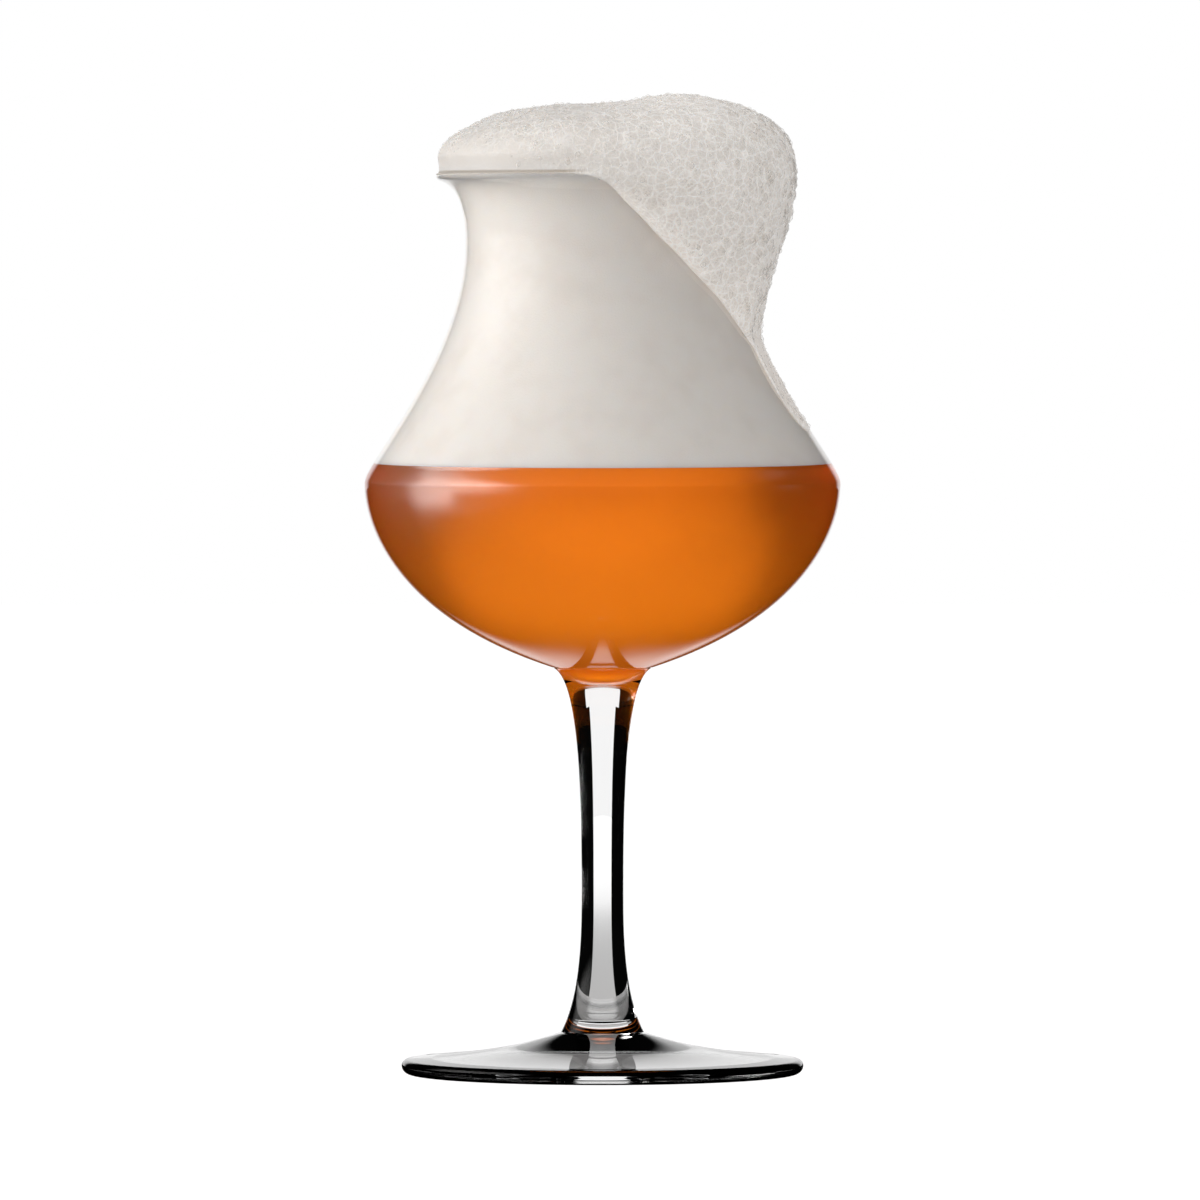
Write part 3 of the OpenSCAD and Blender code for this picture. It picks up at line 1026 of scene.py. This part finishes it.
@dataclass
class Studio:
    """The camera, the pale floor, the soft light and the dark cards that edge the glass, in metres."""

    camera_distance: float = 2.55
    camera_height: float = 0.1539
    aim_height: float = 0.0948
    aim_side: float = -0.0005
    frame_width: float = 0.24
    sensor: float = 36.0
    floor_radius: float = 4.0
    floor_drop: float = 0.0004
    ambient: float = 0.28
    front_fill: float = 0.68
    top_fill: float = 0.15
    back_fill: float = 0.35
    floor_fill: float = 0.25
    back_glow: float = 0.5
    key_level: float = 4.1
    key_colour: Colour = (1.0, 0.99, 0.975)
    key_place: Sequence[float] = (-0.75, -0.2, 0.467)
    key_depth: float = 1.6
    key_height: float = 0.77
    floor_white: float = 0.86
    floor_grey: Colour = (0.3, 0.3, 0.3)
    card_black: Colour = (0.002, 0.002, 0.002)
    mirror_black: float = 0.004
    mirror_white: float = 0.95
    card_radius: float = 0.4
    floor_start: float = 0.043
    card_top: float = 0.34
    low_gap: float = 0.16
    card_step: float = 0.155
    left_top: float = 0.07
    wide_gap: float = 17.0
    beer_gap: float = 22.0
    narrow_gap: float = 14.0

    def camera(self) -> None:
        """Sets the camera at the photograph's angle."""
        data = bpy.data.cameras.new("camera")
        data.sensor_width = self.sensor
        aim = Vector((self.aim_side, 0, self.aim_height))
        place = Vector((self.aim_side, -self.camera_distance, self.camera_height))
        data.lens = self.sensor * (aim - place).length / self.frame_width
        data.clip_end = 20.0
        camera = bpy.data.objects.new("camera", data)
        camera.matrix_world = Matrix.Translation(place) @ (aim - place).to_track_quat("-Z", "Y").to_matrix().to_4x4()
        bpy.context.collection.objects.link(camera)
        bpy.context.scene.camera = camera

    def stage_piece(self, name: str, bm: Mesh, material: Material) -> Piece:
        """Adds a piece of the studio."""
        piece = finish_mesh(name, bm, [material])
        return piece

    def floor(self) -> None:
        """Lays the pale floor, white to the camera with the shadow kept; seen through glass it is pale far off and
        carries a painted shadow near the stem.
        """
        shader = Shader(bpy.data.materials.new("pale_floor"))
        place = shader.place()
        away = shader.vector("LENGTH", place)
        seen, clear = shader.light_path("Is Camera Ray"), shader.light_path("Is Transmission Ray")
        # Painted shadow: seen through the glass, the floor darkens towards the stem, standing in for the shade of the
        # foot and the beer
        under = 0.06 + 0.26 * away.over(0.012, self.floor_start) + 0.6 * away.over(0.08, 1.0)
        glow = self.floor_white * seen + clear * under + self.floor_fill * shader.plain()
        pale = shader.node("ShaderNodeBsdfDiffuse", {"Color": self.floor_grey})
        lit = shader.node("ShaderNodeAddShader", {0: pale, 1: shader.emission(glow)})
        side, deep = shader.axis(place, "X"), shader.axis(place, "Y")
        wedge = deep.over(0.045, 0.1) * deep.over(0.32, 0.2) * (deep - 3.0 * side.maths("ABSOLUTE")).over(-0.05, 0.06)
        ahead = deep * away.most(0.01) ** -1.0
        far = away.over(0.35, 1.0) * ahead.over(0.94, 0.985)
        slant = deep * (side * -1.0).most(0.05) ** -1.0
        patch = side.over(-0.25, -0.6) * slant.over(0.73, 0.0) * slant.over(-1.27, -0.07) * shader.held()
        sheen = shader.emission(wedge * 1.2 + far * self.mirror_white + patch * (1.4 * self.key_level))
        material = shader.surface(shader.either(shader.mirrored(), lit, sheen))
        bm = bmesh.new()
        bmesh.ops.create_circle(bm, cap_ends=True, segments=96, radius=self.floor_radius)
        bmesh.ops.translate(bm, vec=(0, 0, -self.floor_drop), verts=bm.verts)
        self.stage_piece("floor", bm, material)

    def softbox(self) -> None:
        """Hangs the soft key light on the left, bright in its middle and faded at its edges."""
        shader = Shader(bpy.data.materials.new("softbox"))
        place = shader.place()
        deep, up = shader.axis(place, "Y"), shader.axis(place, "Z")
        mirrored, held = shader.mirrored(), shader.held()
        small = deep.over(0.55, 0.0) * deep.over(-0.95, -0.05) * up.over(0.09, 0.17)
        large = deep.over(0.55, 0.3) * deep.over(-0.95, -0.3) * up.over(0.085, 0.12)
        shape = (small + mirrored * held * (large - small)) * up.over(0.85, 0.45)
        level = shape * (1.0 - mirrored * (0.72 - 1.2 * held)) * self.key_level
        material = shader.surface(shader.emission(level, self.key_colour))
        bm = bmesh.new()
        bmesh.ops.create_grid(bm, x_segments=1, y_segments=1, size=0.5)
        turn = Matrix.Rotation(math.radians(90), 4, "Y")
        wide = Matrix.Diagonal((1.0, self.key_depth, self.key_height, 1.0))
        bmesh.ops.transform(bm, matrix=Matrix.Translation(self.key_place) @ wide @ turn, verts=bm.verts)
        panel = self.stage_piece("softbox", bm, material)
        panel.visible_camera = panel.visible_shadow = False

    def card(self, name: str, outline: Profile, start: float, end: float, material: Material) -> None:
        """Stands one dark card, seen only through the glass.

        Args:
            name: its name.
            outline: its profile, as radius and height.
            start: the angle in degrees where it begins.
            end: the angle where it ends.
            material: its finish.
        """
        bm = bmesh.new()
        turn = Matrix.Rotation(math.radians(start), 3, "Z")
        verts = [bm.verts.new(turn @ Vector((point.x, 0, point.y))) for point in outline]
        edges = [bm.edges.new(pair) for pair in zip(verts, verts[1:])]
        angle = math.radians(end - start)
        bmesh.ops.spin(bm, geom=verts + edges, cent=(0, 0, 0), axis=(0, 0, 1), angle=angle, steps=24)
        card = self.stage_piece(name, bm, material)
        card.visible_camera = card.visible_diffuse = False
        card.visible_glossy = card.visible_shadow = False

    def cards(self) -> None:
        """Stands dark cards all round: a gap behind the glass, the left open over a low card, low gaps elsewhere."""
        shader = Shader(bpy.data.materials.new("dark_card"))
        material = shader.surface(shader.node("ShaderNodeBsdfDiffuse", {"Color": self.card_black}))
        low = -self.floor_drop / 2
        heights = (low, self.left_top, self.card_step, self.low_gap, self.card_top)
        foot, left, step, gap, top = (Vector((self.card_radius, height)) for height in heights)
        outlines = {"low": [Vector((self.floor_start, low)), foot, step], "high": [step, top]}
        middles = (0, 90, 180, 225, 270, 315, 360)
        gaps = {middle: self.wide_gap if middle == 90 else self.narrow_gap for middle in middles}
        for level, outline in outlines.items():
            for middle, after in zip(middles, middles[1:]):
                if middle != 180:
                    start, end = middle + gaps[middle], after - gaps[after]
                    self.card(f"card_{level}_{middle}", outline, start, end, material)
            gaps[90] = self.beer_gap
        for middle in (0, 270, 315):
            self.card(f"band_{middle}", [gap, top], middle - self.narrow_gap, middle + self.narrow_gap, material)
        self.card("card_left", [foot, left], 180 + self.narrow_gap, 225 + self.narrow_gap, material)

    def world(self) -> None:
        """Gives a soft light that is stronger in front, and white to the camera and to glass."""
        world = bpy.data.worlds.new("studio")
        bpy.context.scene.world = world
        shader = Shader(world)
        direction = shader.wire("ShaderNodeTexCoord", out="Generated")
        forward, up = shader.axis(direction, "Y"), shader.axis(direction, "Z")
        front = shader.vector("DOT_PRODUCT", direction, (-0.6, -0.75, 0.28)).over(0.0, 1.0)
        back = shader.vector("DOT_PRODUCT", direction, (0.66, 0.72, 0.2)).over(0.6, 1.0)
        soft = self.ambient + self.front_fill * front + self.top_fill * up.over(0.0, 1.0) + self.back_fill * back
        strip = forward.over(0.91, 0.965) * up.over(-0.2, -0.1)
        bare = shader.light_path("Is Glossy Ray") * shader.light_path("Is Reflection Ray")
        shut = shader.mirrored() * forward.over(0.3, 0.0)
        clear = shader.light_path("Is Transmission Ray") * up.over(0.7, 0.4) * (1.0 - shut)
        through = shader.light_path("Transmission Depth").over(2.5, 3.5) * forward.over(0.955, 1.0)
        clear = clear * (1.0 + self.back_glow * through)
        sheen = bare * (self.mirror_black + self.mirror_white * strip)
        level = soft * shader.plain() + shader.light_path("Is Camera Ray") + clear + sheen
        background = shader.node("ShaderNodeBackground", {"Color": WHITE, "Strength": level})
        shader.node("ShaderNodeOutputWorld", {"Surface": background})

    def build(self) -> None:
        """Sets up the whole studio."""
        self.camera()
        self.floor()
        self.softbox()
        self.cards()
        self.world()
        scene = bpy.context.scene
        scene.view_settings.view_transform = "Standard"
        scene.cycles.max_bounces = 32
        scene.cycles.glossy_bounces = 2
        scene.cycles.transmission_bounces = 24
        scene.cycles.transparent_max_bounces = 24
        scene.cycles.caustics_refractive = False
        scene.cycles.caustics_reflective = False


def main() -> None:
    """Builds the glass, its filling and the studio, in that order."""
    logging.basicConfig(level=logging.INFO, format="%(name)s: %(message)s")
    glassware = Glassware()
    pieces = glassware.build(ClearGlass().material(), FusedJoint().material())
    beer = BeerFill(glassware)
    pieces.append(beer.build(HazyBeer(beer.top, beer.bottom).material()))
    foam = FoamMass(glassware, beer)
    rim = (glassware.rim_z, glassware.rim_d / 2)
    pieces.append(foam.build_head(FoamCream("foam_cream", *rim).material()))
    # The crown has a darker colour and a painted glow that lights its right side
    pale = {"cream": (0.7, 0.665, 0.63), "hollow": (0.57, 0.525, 0.48)}
    froth = FoamCream("foam_froth", *rim, **pale, depth=0.006, scatter=0.5, glow=0.38)
    crown = foam.build_crown(froth.material())
    pieces.append(crown)
    small = Bubbles("crown_bubbles", count=2200, smallest=0.2, largest=0.7, seed=7)
    pieces.append(small.build(small.spots(crown, foam.froth_on), BubbleFilm("bubble_film").material()))
    large = Bubbles("spill_bubbles", count=420, smallest=0.9, largest=2.0, seed=11, sunk=0.72)
    # Painted shade: the grey film edges draw dark lines that stand in for dark surroundings refracted in the large
    # bubbles' walls
    lines = BubbleFilm("film_line", colour=(0.7, 0.68, 0.66), most=0.7, sharpness=4.0).material()
    pieces.append(large.build(large.spots(crown, foam.films_on), lines))
    for piece in pieces:
        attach(piece, ROOT)
        log.info("%s: %d faces", piece.name, len(piece.data.polygons))
    Studio().build()


if __name__ == "__main__":
    main()
